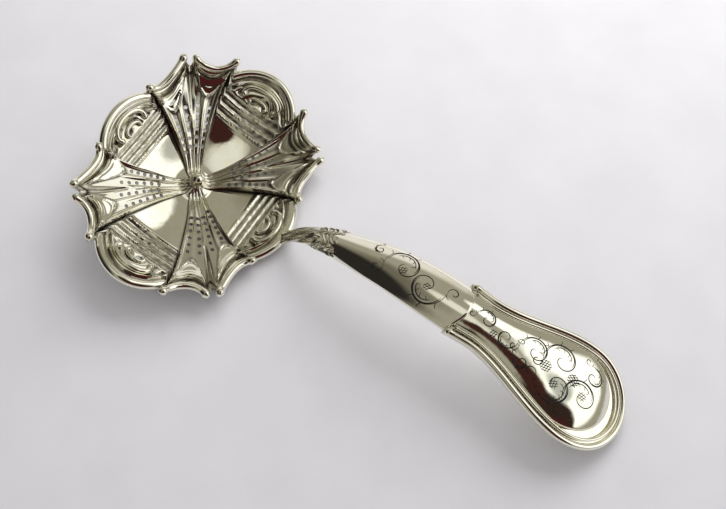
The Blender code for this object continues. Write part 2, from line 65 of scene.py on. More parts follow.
SCALLOP_SAG = 3.3
SCALLOP_SQUARENESS = 0.7  # below 1, a scallop is fuller than a parabola
NOTCH_HALF = 0.1  # half-width of the notch between a fan's halves, as a share of the fan
NOTCH_DEPTH = 2.2
VALLEY_DEPTH = 1.7  # fold between a fan's halves
FLUTE_PITCH = 0.47  # spacing of the flutes across a fan, as a share of its half-width
FLUTE_WIDTH = 0.075
FLUTE_HEIGHT = 0.55
ROLL_LINE = 3.2  # roll in the metal, in from a scallop's rim
GUTTER_LINE = 1.95  # gutter between that roll and the rim's wire
CRESCENT_ENDS = 1.6  # width of the plain crescent inside a scallop's rim, at its ends
CRESCENT_GAIN = 5.2  # and how much wider it is in its middle
CENTRE_RISE = 2.3  # seat of the boss above the floor of the lobes
CENTRE_RADIUS = 2.4
RIM_WIRE = 0.95
RIM_INSET = 1.25
RIM_LIFT = 0.5  # rim wires above the edge of the sheet
RIM_SIDE = 0.97  # share of a fan's half-width at which its wires' ends stay up, above its wall
TIP_BALL = 1.1
LOBE_WIRE = 1.1
LOBE_INSET = 1.4
LOBE_OVERRUN = 0.04  # how far a lobe's wire runs in under the fans, as a share of the lobe
LOBE_ROLL_LINE = 2.6  # roll in from a lobe's rim
LOBE_GUTTERS = (1.6, 3.6)  # on either side of that roll
REEDS = (0.55, 0.615, 0.68, 0.745)  # straight ridges across a lobe, as shares of its reach
# Scrolls of a lobe: middle as a share of the lobe's reach, depth, half-width, radius of the wire
SCROLLS = (("outer", 0.81, 2.4, 4.8, 0.65), ("inner", 0.775, 1.1, 2.3, 0.42))
SCROLL_TURN = 125  # degrees that a scroll curls round to each side
SCROLL_LIFT = 0.35
BOSS_RADIUS = 1.75
BOSS_SUNK = 0.15
BEADS = 9
BEAD_RADIUS = 0.5
BEAD_RING = 1.55
HOLE_RADIUS = 0.5
HOLE_SIDES = 14
HOLE_LINES = (-1.5, -0.5, 0.5, 1.5)  # across a fan, in flutes
HOLES_PER_LINE = 6
HOLE_FIRST = 0.33  # first and last hole of a line, as shares of the bowl's radius
HOLE_LAST = 0.66
HOLE_CUT_DOWN, HOLE_CUT_UP = 4.0, 3.0  # reach of a cut below and above the sheet
HOLE_TURN = 0.37  # keeps the corners of a hole off the flutes' lines, as a share of a side
FOOT_FLAT = 0.08  # worn off the underside where the bowl touches the table

# Handle: x from the middle of the bowl and z above the table, at stations along its arch
HANDLE_LINE = ((27.6, 3.3), (31.0, 7.9), (36.0, 11.8), (45.0, 15.3), (58.0, 17.7), (74.0, 16.4),
               (92.0, 12.6), (107.0, 7.6), (118.0, 0.75))
HANDLE_SHEET = 0.7
NECK_START = 26.6
NECK_END = 36.4
LEAF_START = 35.4
LEAF_END = 42.2
NECK_HALF_START = 1.7
NECK_FLARE = 0.9  # extra half-width where the neck springs from the rim
LEAF_HALF_START = 2.8
LEAF_HALF_END = 3.7
NECK_THICK = 1.1  # half-thicknesses
LEAF_THICK_START = 1.3
LEAF_THICK_END = 2.0
LEAVES = 8
SHANK_START = 41.6
SHANK_END = 73.8
SHANK_ARC = 2.6  # how far the middle of the shank reaches over the blade
SHANK_HALF_START = 3.5
SHANK_HALF_END = 6.3
SHANK_HEIGHT_START = 2.0
SHANK_HEIGHT_END = 3.0
SHANK_BASE = 0.3
SHANK_REACH = math.radians(58)  # half of the arc that is the shank's front
BLADE_START = 74.1
SHOULDER_HALF = 7.4
WAIST_X = 80.0
WAIST_HALF = 7.0
ROUND_X = 105.6  # centre and radius of the blade's round end
ROUND_RADIUS = 12.4
BORDER_WIRE = 0.85
THREAD_WIRE = 0.4
THREAD_INSET = 2 * BORDER_WIRE + 0.2 + THREAD_WIRE
THREAD_START = BLADE_START + 1.4
PANEL_START = SHANK_END
PANEL_INSET = THREAD_INSET + THREAD_WIRE
PANEL_ROUND_X = 103.6
PANEL_DOME_START = 0.9  # rise of the panel towards its middle line, at the waist
PANEL_DOME_END = 1.5  # and where it is widest
PANEL_WIDE_X = 100.0
PANEL_CORNER = 0.5

# Levels above the handle's line, which runs between its back and front sheets
BACK_TOP = -0.15
FRONT_TOP = 0.85
BORDER_LEVEL = 1.0
THREAD_LEVEL = 1.55
PANEL_TOP = 1.85

# The origin is under the middle of the whole ladle, so the middle of the bowl is at -X
FAR_EDGE = -(LOBE_X + LOBE_WIRE) * math.cos(BOWL_TILT) + LOBE_DEPTH * math.sin(BOWL_TILT)
BOWL_X = -(FAR_EDGE + ROUND_X + ROUND_RADIUS) / 2

SILVER = (0.93, 0.91, 0.81)
WARM_TARNISH = (0.75, 0.70, 0.48)
# dark colour of oxide in hollows, also used as painted shade by the fans' walls
OXIDE_AND_SHADE_COLOUR = (0.055, 0.042, 0.032)
CUT_DARK = (0.008, 0.007, 0.006)
CUT_GLINT = (0.04, 0.037, 0.033)
FLOOR_DARK = (0.67, 0.66, 0.675)
FLOOR_LIGHT = (0.71, 0.70, 0.715)

# Reflected room: azimuth, elevation, half-angle and softness in degrees, and colour of each area
ROOM_WALLS = (0.34, 0.325, 0.26)
ROOM_AREAS = (
    (205, 62, 25, 12, (0.15, 0.14, 0.105)),
    (117, 8, 28, 8, (0.82, 0.79, 0.74)),
    (28, 36, 29, 3, (1.3, 1.3, 1.25)),
    (62, 44, 12, 2, (1.3, 1.3, 1.25)),
    (22, 52, 8, 3, (0.50, 0.52, 0.48)),
    (40, 80, 9, 4, (0.8, 0.8, 0.72)),
    (-135, 28, 36, 8, (0.022, 0.02, 0.018)),
    (-32, 39, 31, 2, (0.03, 0.018, 0.014)),
    (-8, 69, 9, 1.5, (0.045, 0.015, 0.012)),
    (-30, 33, 20, 4, (0.06, 0.012, 0.013)))
SOFT_LIGHT = (0.58, 0.575, 0.58)

KEY_DIRECTION = (98, 42)  # azimuth and elevation in degrees
KEY_DISTANCE = 0.34
KEY_SIDE = 0.3
KEY_POWER = 1.05
VIEW_DIRECTION = (-62.5, 62.4)
VIEW_ROLL = math.radians(5.0)
VIEW_TARGET = (-0.76, 3.71, 8.29)
VIEW_DISTANCE = 286.1
LENS = 59.5


# ---- helpers

def smooth_step(value, low, high):
    """0 below low, 1 above high and an S-curve between them."""
    share = min(1.0, max(0.0, (value - low) / (high - low)))
    return share * share * (3.0 - 2.0 * share)


def bump(value, centre, half_width):
    """A rounded ridge of height 1."""
    return math.exp(-((value - centre) / half_width) ** 2)


def around(radius, turn):
    """A point (x, y) at a radius from the origin and an angle."""
    return radius * math.cos(turn), radius * math.sin(turn)


def grid_faces(rows, columns, wrap=False):
    """Quads over a grid of points stored row by row, facing row direction x column direction."""
    faces = []
    for row in range(rows - 1):
        for column in range(columns if wrap else columns - 1):
            after = (column + 1) % columns
            faces.append((row * columns + column, (row + 1) * columns + column,
                          (row + 1) * columns + after, row * columns + after))
    return faces


def join_frame(item, nodes):
    """Let a piece ride with the ladle and stand for its CAD nodes."""
    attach(item, "root")
    if nodes:
        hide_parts(*nodes)
    return item


def add_object(name, data):
    """An object of the scene, from its mesh, curve, light or camera."""
    item = bpy.data.objects.new(name, data)
    bpy.context.scene.collection.objects.link(item)
    return item


def new_mesh(name, points, faces):
    """A mesh from points in millimetres."""
    mesh = bpy.data.meshes.new(name)
    mesh.from_pydata([tuple(MM * float(value) for value in point) for point in points], [], faces)
    return mesh


def mesh_piece(name, points, faces, material, nodes, oxide_and_shade=None):
    """A smooth closed piece, with the oxide in its hollows and any painted shade stored on its
    points.
    """
    mesh = new_mesh(name, points, faces)
    if oxide_and_shade:
        mesh.attributes.new("oxide_and_shade", "FLOAT", "POINT").data.foreach_set("value", oxide_and_shade)
    shape = bmesh.new()
    shape.from_mesh(mesh)
    bmesh.ops.recalc_face_normals(shape, faces=shape.faces)
    shape.to_mesh(mesh)
    shape.free()
    mesh.shade_smooth()
    mesh.set_sharp_from_angle(angle=math.radians(50))
    mesh.materials.append(material)
    return join_frame(add_object(name, mesh), nodes)


def new_curve(name, roundness, material):
    """An empty curve whose splines become round wires."""
    curve = bpy.data.curves.new(name, "CURVE")
    curve.dimensions = "3D"
    curve.bevel_depth = MM
    curve.bevel_resolution = roundness
    curve.use_fill_caps = True
    curve.materials.append(material)
    return curve


def add_spline(curve, points, radii):
    """A spline through points in millimetres, with a radius in millimetres at each."""
    spline = curve.splines.new("POLY")
    spline.points.add(len(points) - 1)
    for target, point, radius in zip(spline.points, points, radii):
        target.co = (*(MM * float(value) for value in point), 1.0)
        target.radius = float(radius)
    spline.use_smooth = True


def wire(name, points, radii, material, nodes):
    """A round wire through points in millimetres, with a radius at each."""
    curve = new_curve(name, 5, material)
    add_spline(curve, points, radii)
    return join_frame(add_object(name, curve), nodes)


def lengths_along(points):
    """Distance of each point from the first, along the path."""
    total = 0.0
    lengths = [0.0]
    for before, after in zip(points, points[1:]):
        total += math.dist(before, after)
        lengths.append(total)
    return lengths


def ball_ends(points, radius, ball):
    """Radii along a path that swell to a ball at each end."""
    lengths = lengths_along(points)
    radii = []
    for length in lengths:
        depth = min(length, lengths[-1] - length)
        if depth < ball:
            radii.append(math.sqrt(max(0.0004, ball ** 2 - (ball - depth) ** 2)))
        else:
            radii.append(radius + (ball - radius) * (1.0 - smooth_step(depth, ball, 2.2 * ball)))
    return radii


def end_spaced(count):
    """Shares from 0 to 1, closer together at both ends."""
    return [0.5 - 0.5 * math.cos(math.pi * step / (count - 1)) for step in range(count)]


def side_spaced(count):
    """Places from -1 to 1, closer together at both sides."""
    return [2.0 * share - 1.0 for share in end_spaced(count)]


# ---- materials

def node(tree, kind, **inputs):
    """A shader node with some of its inputs set; underscores stand for spaces in their names."""
    made = tree.nodes.new(kind)
    for name, value in inputs.items():
        made.inputs[name.replace("_", " ")].default_value = value
    return made


def new_material(name, roughness, metallic):
    """A material, its node tree and its shader."""
    material = bpy.data.materials.new(name)
    material.use_nodes = True
    shader = material.node_tree.nodes["Principled BSDF"]
    shader.inputs["Roughness"].default_value = roughness
    shader.inputs["Metallic"].default_value = metallic
    return material, material.node_tree, shader


def colour_mix(tree, factor, low, high):
    """The socket of a colour that goes from low to high; low is a colour or another such socket."""
    mix = tree.nodes.new("ShaderNodeMix")
    mix.data_type = "RGBA"
    tree.links.new(factor, mix.inputs[0])
    if isinstance(low, tuple):
        mix.inputs[6].default_value = (*low, 1.0)
    else:
        tree.links.new(low, mix.inputs[6])
    mix.inputs[7].default_value = (*high, 1.0)
    return mix.outputs[2]


def noise(tree, place, **inputs):
    """The socket of a noise over a surface."""
    made = node(tree, "ShaderNodeTexNoise", **inputs)
    tree.links.new(place, made.inputs["Vector"])
    return made.outputs["Fac"]


def mapped(tree, value, curve="LINEAR", **inputs):
    """The socket of a value brought from one range to another."""
    made = node(tree, "ShaderNodeMapRange", **inputs)
    made.interpolation_type = curve
    tree.links.new(value, made.inputs["Value"])
    return made.outputs["Result"]


def times_plus(tree, value, factor, offset, clamp=False):
    """The socket of value * factor + offset, each of them a number or a socket."""
    made = tree.nodes.new("ShaderNodeMath")
    made.operation = "MULTIPLY_ADD"
    made.use_clamp = clamp
    for socket, source in zip(made.inputs, (value, factor, offset)):
        if isinstance(source, float):
            socket.default_value = source
        else:
            tree.links.new(source, socket)
    return made.outputs[0]


def raised(tree, height, depth, normal=None):
    """The socket of a normal bent by a height field of some depth, on top of another normal."""
    made = node(tree, "ShaderNodeBump", Strength=1.0, Distance=depth * MM)
    tree.links.new(height, made.inputs["Height"])
    if normal:
        tree.links.new(normal, made.inputs["Normal"])
    return made.outputs["Normal"]


def metal(name, roughness, tone=1.0, tarnish=0.3, grain=0.02, pitting=0.0):
    """Old silver: warm tarnish in clouds, oxide in the hollows and painted shade from the mesh's
    mask, fine polishing scratches.
    """
    material, tree, shader = new_material(name, roughness, 1.0)
    link = tree.links.new
    place = tree.nodes.new("ShaderNodeTexCoord").outputs["Object"]
    # mask stored on the mesh: oxide in hollows, and on the bowl also painted shade along the fans'
    # walls
    oxide_and_shade = tree.nodes.new("ShaderNodeAttribute")
    oxide_and_shade.attribute_name = "oxide_and_shade"

    clouds = noise(tree, place, Scale=170.0, Detail=5.0, Roughness=0.6)
    amount = mapped(tree, clouds, From_Min=0.42, From_Max=0.72, To_Max=tarnish)
    clean = tuple(tone * value for value in SILVER)
    tint = colour_mix(tree, amount, clean, WARM_TARNISH)
    specks = noise(tree, place, Scale=1500.0, Detail=3.0)
    ragged = times_plus(tree, specks, 0.35, 0.82)
    # amount of the dark colour: oxide, and painted shade where the mask carries it
    oxide = times_plus(tree, ragged, oxide_and_shade.outputs["Fac"], 0.0, clamp=True)
    link(colour_mix(tree, oxide, tint, OXIDE_AND_SHADE_COLOUR), shader.inputs["Base Color"])

    smudge = mapped(tree, clouds, From_Min=0.3, From_Max=0.75,
                    To_Min=0.7 * roughness, To_Max=1.5 * roughness)
    link(times_plus(tree, oxide, 0.32, smudge), shader.inputs["Roughness"])

    stretch = node(tree, "ShaderNodeMapping", Rotation=(0.2, 0.3, 0.6), Scale=(1.0, 14.0, 6.0))
    link(place, stretch.inputs["Vector"])
    scratches = noise(tree, stretch.outputs["Vector"], Scale=420.0, Detail=4.0)
    normal = raised(tree, scratches, 0.04 * grain)
    dents = noise(tree, place, Scale=260.0, Detail=2.0)
    normal = raised(tree, dents, grain, normal)
    if pitting:
        pits = node(tree, "ShaderNodeTexVoronoi", Scale=900.0)
        link(place, pits.inputs["Vector"])
        normal = raised(tree, pits.outputs["Distance"], pitting, normal)
    link(normal, shader.inputs["Normal"])
    return material


def mottle(tree, shader, scale, detail, low, high):
    """Colour a surface by noise; low and high are each a level of the noise and a colour."""
    place = tree.nodes.new("ShaderNodeTexCoord").outputs["Object"]
    ramp = tree.nodes.new("ShaderNodeValToRGB")
    for element, (level, colour) in zip(ramp.color_ramp.elements, (low, high)):
        element.position = level
        element.color = (*colour, 1.0)
    tree.links.new(noise(tree, place, Scale=scale, Detail=detail), ramp.inputs["Fac"])
    tree.links.new(ramp.outputs["Color"], shader.inputs["Base Color"])


def engraved_line():
    """Oxide in the engraver's cuts, with bare metal glinting through here and there."""
    material, tree, shader = new_material("engraved_line", 0.8, 0.2)
    mottle(tree, shader, 900.0, 3.0, (0.45, CUT_DARK), (0.85, CUT_GLINT))
    return material


# ---- bowl

FAN_STEPS = 32
LOBE_STEPS = 46
ROW_COUNT = 84
FIRST_RING = 0.03
CREST = 2 * FLUTE_PITCH  # place of the ridges along a fan's sides
WALL_PLACES = (CREST + 0.02, CREST + 0.03, 0.99, 1.0)  # from the ridge down the fan's side
CENTRE_PATINA = 0.6
# the whole underside of the bowl is darkened towards the oxide colour by this much
UNDERSIDE_DARKENING = 0.35


def bowl_floor(x, y):
    """Height of the lobes' dish, rising in the middle to the seat of the boss."""
    share = math.hypot(x / LOBE_X, y / LOBE_Y)
    dish = LOBE_DEPTH * ((1.0 - RIM_TURN_UP) * share ** 2 + RIM_TURN_UP * share ** 4)
    return dish + CENTRE_RISE * math.exp(-(math.hypot(x, y) / CENTRE_RADIUS) ** 2)


def lobe_radius(angle, place=0.5):
    """Radius of a lobe's rim, at an angle from the handle's direction and a place on the lobe."""
    oval = 1.0 / math.hypot(math.cos(angle) / LOBE_X, math.sin(angle) / LOBE_Y)
    return oval * (1.0 - LOBE_CURL * (2.0 * place - 1.0) ** 2)


def fan_middle(fan):
    """Direction of the middle of a fan; the four fans are numbered anticlockwise from the handle."""
    return (FAN_ANGLE, math.pi - FAN_ANGLE, math.pi + FAN_ANGLE, 2 * math.pi - FAN_ANGLE)[fan]


def towards_across(fan, place):
    """Whether a place on a fan, from -1 to 1 anticlockwise, is on the side of an across lobe."""
    return place > 0 if fan % 2 == 0 else place < 0


def fan_half(fan, place, share):
    """Half-angle of a fan on the side of a place, at a share of the bowl's radius."""
    across = towards_across(fan, place)
    tip = FAN_HALF_ACROSS if across else FAN_HALF_ALONG
    neighbour = math.pi / 2 - FAN_ANGLE if across else FAN_ANGLE
    half = tip * (FAN_WAIST + (1.0 - FAN_WAIST) * share ** 4)
    return half + FAN_CLOSING * (neighbour - half) * bump(share, 0.0, FAN_CLOSING_REACH)


def fan_direction(fan, place, share):
    """Direction of a place on a fan, at a share of the bowl's radius."""
    return fan_middle(fan) + place * fan_half(fan, place, share)


def half_reach(place):
    """Position along one scallop: 0 at the notch, 1 at the fan's side."""
    return max(0.0, (abs(place) - NOTCH_HALF) / (1.0 - NOTCH_HALF))


def scallop_radius(fan, place):
    """Radius of the rim line of a fan, which dips between the ball tips."""
    side_tip = TIP_ACROSS if towards_across(fan, place) else TIP_ALONG
    reach = half_reach(place)
    dip = SCALLOP_SAG * (1.0 - (2.0 * reach - 1.0) ** 2) ** SCALLOP_SQUARENESS
    slit = NOTCH_DEPTH * max(0.0, 1.0 - (place / NOTCH_HALF) ** 2)
    return TIP_MIDDLE + (side_tip - TIP_MIDDLE) * reach - dip - slit


def fan_relief(fan, place, share):
    """Height of a fan above the dish, and how much oxide and painted shade lies there."""
    radius = share * scallop_radius(fan, place)
    rim = scallop_radius(fan, place) - radius
    body = FAN_RISE * smooth_step(share, *FAN_FOOT) * (1.0 - FAN_FALL * share ** 3)
    wall = 1.0 - smooth_step(abs(place), CREST + 0.025, 1.0)

    # The fluted field, with a ridge along each side of the fan, stops at the scallop's crescent
    bend = 1.0 - (2.0 * half_reach(place) - 1.0) ** 2
    crescent = CRESCENT_ENDS + CRESCENT_GAIN * bend ** SCALLOP_SQUARENESS
    field = smooth_step(rim, crescent - 0.1, crescent + 0.5)
    width = max(FLUTE_WIDTH, 0.3 / (1.0 + radius * fan_half(fan, place, share)))
    crest = bump(abs(place), CREST, width)
    inner = bump(abs(place), FLUTE_PITCH, width)
    inner += bump(place, 0.0, width) * (1.0 - smooth_step(share, 0.5, 0.66))
    flutes = field * FLUTE_HEIGHT * smooth_step(share, 0.04, 0.2)
    flutes *= inner * (1.0 - 0.5 * share) + crest
    side = 0.3 * (1.0 - field) * crest

    # The fold between the fan's halves
    valley_half = 0.06 + 0.16 * share ** 3
    valley = smooth_step(share, 0.55, 0.95) * bump(place, 0.0, valley_half)

    # The crescent: a gutter and a roll along the rim, a swelling, and a raised edge
    rolled = 0.75 * bump(rim, ROLL_LINE, 0.7) - 0.9 * bump(rim, GUTTER_LINE, 0.5)
    inside = (rim - ROLL_LINE - 0.2) / max(0.5, crescent - ROLL_LINE - 0.2)
    swell = 0.4 * math.sin(math.pi * min(1.0, max(0.0, inside)))
    edge = 0.45 * bump(rim, crescent, 0.3)
    relief = (rolled + swell + edge) * smooth_step(bend, 0.0, 0.35)
    height = (body + flutes + side + relief) * wall - VALLEY_DEPTH * valley

    # Oxide between the flutes, in the gutter, the fold and the edge's corner, and painted shade down
    # the fan's wall
    oxide_and_shade = 0.2 * field * (1.0 - min(1.0, inner + crest)) * smooth_step(share, 0.06, 0.3)
    oxide_and_shade += 0.8 * bump(rim, GUTTER_LINE, 0.4)
    oxide_and_shade += 0.45 * bump(place, 0.0, 0.5 * valley_half) * valley
    oxide_and_shade += 0.55 * bump(rim, crescent + 0.7, 0.4) * smooth_step(bend, 0.1, 0.5)
    # painted shade: the fan's steep side wall is darkened towards the oxide colour, for the shadow
    # under its ridge
    oxide_and_shade += 0.9 * smooth_step(abs(place), CREST + 0.03, 0.99)
    return height, min(1.0, oxide_and_shade)


def lobe_middle(fan):
    """Direction of the middle of the lobe that follows a fan."""
    return (0.5 + 0.5 * fan) * math.pi


def lobe_relief(fan, place, share, x, y, radius):
    """Height of a lobe's ornament, and how much oxide and painted shadow lies there."""
    middle = lobe_middle(fan)
    reach = lobe_radius(middle)
    along = x * math.cos(middle) + y * math.sin(middle)
    across = -x * math.sin(middle) + y * math.cos(middle)
    rim = radius / max(share, 0.01) - radius
    outer, inner = (bump(rim, line, 0.4) for line in LOBE_GUTTERS)
    rolled = 0.6 * bump(rim, LOBE_ROLL_LINE, 0.5) - 0.4 * outer - 0.35 * inner

    # From the boss outwards: the plain dish, a chased band with reeds, and carved leaves
    reeds = sum(bump(along, line * reach, 0.46) for line in REEDS)
    beyond = smooth_step(along, REEDS[-1] * reach, REEDS[-1] * reach + 0.8)
    band = (1.0 - beyond) * smooth_step(along, REEDS[0] * reach, REEDS[0] * reach + 0.6)
    ornament = beyond * smooth_step(rim, 3.2, 3.9)
    chased = math.sin(2.3 * across + 1.5 * math.sin(1.7 * along))
    chased *= math.sin(2.9 * along + 0.8 * across)
    leaves = math.sin(2.1 * math.hypot(along - 0.74 * reach, across) + 0.7 * math.sin(across))
    height = rolled + 0.55 * reeds - 0.15 * band + 0.04 * band * chased + 0.25 * ornament * leaves
    height *= smooth_step(min(place, 1.0 - place), 0.0, 0.03)

    # Oxide between the reeds and the leaves and in the gutters, and painted shadow at the foot of
    # the fans' walls
    oxide_and_shade = band * (0.5 - 0.2 * chased) * (1.0 - min(1.0, reeds))
    oxide_and_shade += 0.35 * ornament * (1.0 - leaves)
    oxide_and_shade += 0.7 * outer + 0.55 * inner
    # painted shadow: the lobe is darkened along the foot of each fan's wall, where that wall's
    # shadow falls
    oxide_and_shade += 0.9 * (1.0 - smooth_step(min(place, 1.0 - place) * radius, 0.05, 0.6))
    return height, min(1.0, oxide_and_shade)


def fan_places():
    """Places across a fan, with a steep wall at each side."""
    steps = FAN_STEPS - len(WALL_PLACES)
    half = [CREST * step / steps for step in range(1, steps + 1)] + list(WALL_PLACES)
    return [-place for place in reversed(half)] + [0.0] + half


def fan_point(fan, place, share):
    """A point of a fan's sheet and its oxide and painted shade."""
    edge = scallop_radius(fan, place)
    radius = share * edge
    turn = fan_direction(fan, place, share)
    base = bowl_floor(*around(min(radius, edge - RIM_INSET), turn))
    height, oxide_and_shade = fan_relief(fan, place, share)
    height += RIM_LIFT * smooth_step(radius, edge - RIM_INSET, edge)
    return (*around(radius, turn), base + height), oxide_and_shade


def lobe_point(fan, place, share):
    """A point of a lobe's sheet and its oxide and painted shadow."""
    start = fan_direction(fan, 1.0, share)
    end = fan_direction((fan + 1) % 4, -1.0, share)
    if end < start:
        end += 2 * math.pi
    turn = start + place * (end - start)
    edge = lobe_radius(turn, place)
    radius = share * edge
    x, y = around(radius, turn)
    inside = min(1.0, (edge - LOBE_INSET) / radius)
    height, oxide_and_shade = lobe_relief(fan, place, share, x, y, radius)
    return (x, y, bowl_floor(inside * x, inside * y) + height), oxide_and_shade


def contact_lift():
    """Height of the bowl's origin above the table."""
    lowest = 0.0
    steps = 1000
    for step in range(steps):
        x = LOBE_X * step / steps
        under = bowl_floor(x, 0.0) - BOWL_SHEET
        lowest = min(lowest, under * math.cos(BOWL_TILT) - x * math.sin(BOWL_TILT))
    return -lowest - FOOT_FLAT


BOWL_MATRIX = Matrix.Translation((BOWL_X, 0.0, contact_lift())) @ Matrix.Rotation(BOWL_TILT, 4, "Y")


def to_ladle(points):
    """Points of the bowl's frame in the ladle's."""
    return [tuple(BOWL_MATRIX @ Vector(point)) for point in points]


def bowl_ring(share):
    """One ring of the bowl's sheet: its points and their oxide and painted shade."""
    ring = []
    for fan in range(4):
        ring += [fan_point(fan, place, share) for place in fan_places()]
        ring += [lobe_point(fan, step / LOBE_STEPS, share) for step in range(1, LOBE_STEPS)]
    return ring


def add_prism(points, faces, centre):
    """Add an upright prism of a hole's radius, through the sheet at a centre."""
    start = len(points)
    for level in (centre[2] - HOLE_CUT_DOWN, centre[2] + HOLE_CUT_UP):
        for side in range(HOLE_SIDES):
            x, y = around(HOLE_RADIUS, 2 * math.pi * (side + HOLE_TURN) / HOLE_SIDES)
            points.append((centre[0] + x, centre[1] + y, level))
    low = [start + side for side in range(HOLE_SIDES)]
    high = [corner + HOLE_SIDES for corner in low]
    for side in range(HOLE_SIDES):
        after = (side + 1) % HOLE_SIDES
        faces.append((low[side], low[after], high[after], high[side]))
    faces.append(tuple(reversed(low)))
    faces.append(tuple(high))


def hole_cutters():
    """The pierced holes, as one mesh of upright prisms in the bowl's frame."""
    points = []
    faces = []
    for fan in range(4):
        for place in HOLE_LINES:
            for hole in range(HOLES_PER_LINE):
                share = HOLE_FIRST + (HOLE_LAST - HOLE_FIRST) * hole / (HOLES_PER_LINE - 1)
                centre, _ = fan_point(fan, place * FLUTE_PITCH, share)
                add_prism(points, faces, centre)
    return add_object("hole_cutters", new_mesh("hole_cutters", to_ladle(points), faces))


def pierce(item, cutter):
    """Cut the holes for good, and remove the cutter."""
    cut = item.modifiers.new("Pierced", "BOOLEAN")
    cut.operation = "DIFFERENCE"
    cut.object = cutter
    cut.solver = "MANIFOLD"
    bpy.context.view_layer.update()
    solid = item.evaluated_get(bpy.context.evaluated_depsgraph_get())
    mesh = bpy.data.meshes.new_from_object(solid)
    item.modifiers.clear()
    item.data = mesh
    bpy.data.objects.remove(cutter)


def bowl(material):
    """The struck and pierced sheet of the bowl."""
    top = [((0.0, 0.0, bowl_floor(0.0, 0.0)), CENTRE_PATINA)]
    for row in range(ROW_COUNT):
        top += bowl_ring(FIRST_RING + (1.0 - FIRST_RING) * row / (ROW_COUNT - 1))
    columns = (len(top) - 1) // ROW_COUNT
    upper = to_ladle(point for point, _ in top)
    under = to_ladle((x, y, z - BOWL_SHEET) for (x, y, z), _ in top)
    under = [(x, y, max(0.0, z)) for x, y, z in under]
    # dark mask of the bowl: oxide and painted shade on top, an even darkening underneath
    darkening = [oxide_and_shade for _, oxide_and_shade in top] + [UNDERSIDE_DARKENING] * len(top)
    shift = len(top)
    faces = []
    rim = 1 + (ROW_COUNT - 1) * columns
    for column in range(columns):
        after = (column + 1) % columns
        faces.append((0, 1 + column, 1 + after))
        faces.append((shift, shift + 1 + after, shift + 1 + column))
        faces.append((rim + column, shift + rim + column, shift + rim + after, rim + after))
    for face in grid_faces(ROW_COUNT, columns, wrap=True):
        faces.append(tuple(1 + corner for corner in face))
        faces.append(tuple(shift + 1 + corner for corner in reversed(face)))
    item = mesh_piece("bowl", upper + under, faces, material, ["bowl_shell"], darkening)
    pierce(item, hole_cutters())


def scallop_rim(fan, half, material):
    """The rolled rim of one scallop of a fan, with a ball at each end."""
    path = []
    for share in end_spaced(60):
        place = half * (NOTCH_HALF + (1.0 - NOTCH_HALF) * share)
        (_, _, level), _ = fan_point(fan, RIM_SIDE * place, 1.0)
        x, y = around(scallop_radius(fan, place), fan_direction(fan, place, 1.0))
        path.append((x, y, level))
    number = 2 * fan + (1 if half < 0 else 2)
    wire(f"scallop_rim_{number}", to_ladle(path), ball_ends(path, RIM_WIRE, TIP_BALL), material,
         [f"scallop_wire_{number}"])


def lobe_rim(fan, material):
    """The rolled rim of the lobe that follows a fan, running in under the fans' tips."""
    path = []
    steps = 60
    for step in range(steps + 1):
        place = -LOBE_OVERRUN + (1.0 + 2.0 * LOBE_OVERRUN) * step / steps
        path.append(lobe_point(fan, place, 1.0)[0])
    wire(f"lobe_rim_{fan + 1}", to_ladle(path), ball_ends(path, LOBE_WIRE, LOBE_WIRE), material,
         [f"lobe_wire_{fan + 1}"])


def lobe_scrolls(fan, material):
    """Two nested C-scrolls with ball ends inside a lobe's rim."""
    middle = lobe_middle(fan)
    for name, reach, depth, half_width, radius in SCROLLS:
        path = []
        for share in end_spaced(50):
            turn = math.radians(SCROLL_TURN * (2.0 * share - 1.0))
            radial = lobe_radius(middle) * reach + depth * math.cos(turn)
            sideways = half_width * math.sin(turn)
            x = radial * math.cos(middle) - sideways * math.sin(middle)
            y = radial * math.sin(middle) + sideways * math.cos(middle)
            path.append((x, y, bowl_floor(x, y) + SCROLL_LIFT))
        nodes = [f"lobe_scroll_{fan + 1}"] if name == "outer" else []
        radii = ball_ends(path, radius, 1.25 * radius)
        wire(f"lobe_scroll_{name}_{fan + 1}", to_ladle(path), radii, material, nodes)


def boss(polished, cast):
    """The ball in the middle of the bowl, in a ring of small beads that touch it."""
    level = CENTRE_RISE + BOSS_RADIUS - BOSS_SUNK
    ball = sphere("boss_ball", to_ladle([(0.0, 0.0, level)])[0], BOSS_RADIUS, polished)
    join_frame(ball, ["centre_boss"])
    drop = math.sqrt((BOSS_RADIUS + BEAD_RADIUS - BOSS_SUNK) ** 2 - BEAD_RING ** 2)
    for bead in range(BEADS):
        place = (*around(BEAD_RING, 2 * math.pi * bead / BEADS), level - drop)
        ball = sphere(f"boss_bead_{bead + 1}", to_ladle([place])[0], BEAD_RADIUS, cast)
        join_frame(ball, ["boss_collar"] if bead == 0 else [])


def sphere(name, centre, radius, material):
    """A ball, slightly uneven as if finished by hand."""
    mesh = bpy.data.meshes.new(name)
    shape = bmesh.new()
    bmesh.ops.create_icosphere(shape, subdivisions=4, radius=radius * MM)
    for point in shape.verts:
        x, y, z = point.co / (radius * MM)
        point.co *= 1.0 - 0.015 * (1.0 + math.sin(3.1 * x + 2.0 * y) * math.cos(2.7 * z))
        point.co += Vector(centre) * MM
    shape.to_mesh(mesh)
    shape.free()
    mesh.shade_smooth()
    mesh.materials.append(material)
    return add_object(name, mesh)


# ---- handle

def handle_slope(station):
    """Slope of the handle's line at a station, from its neighbours."""
    before = HANDLE_LINE[max(station - 1, 0)]
    after = HANDLE_LINE[min(station + 1, len(HANDLE_LINE) - 1)]
    return (after[1] - before[1]) / (after[0] - before[0])


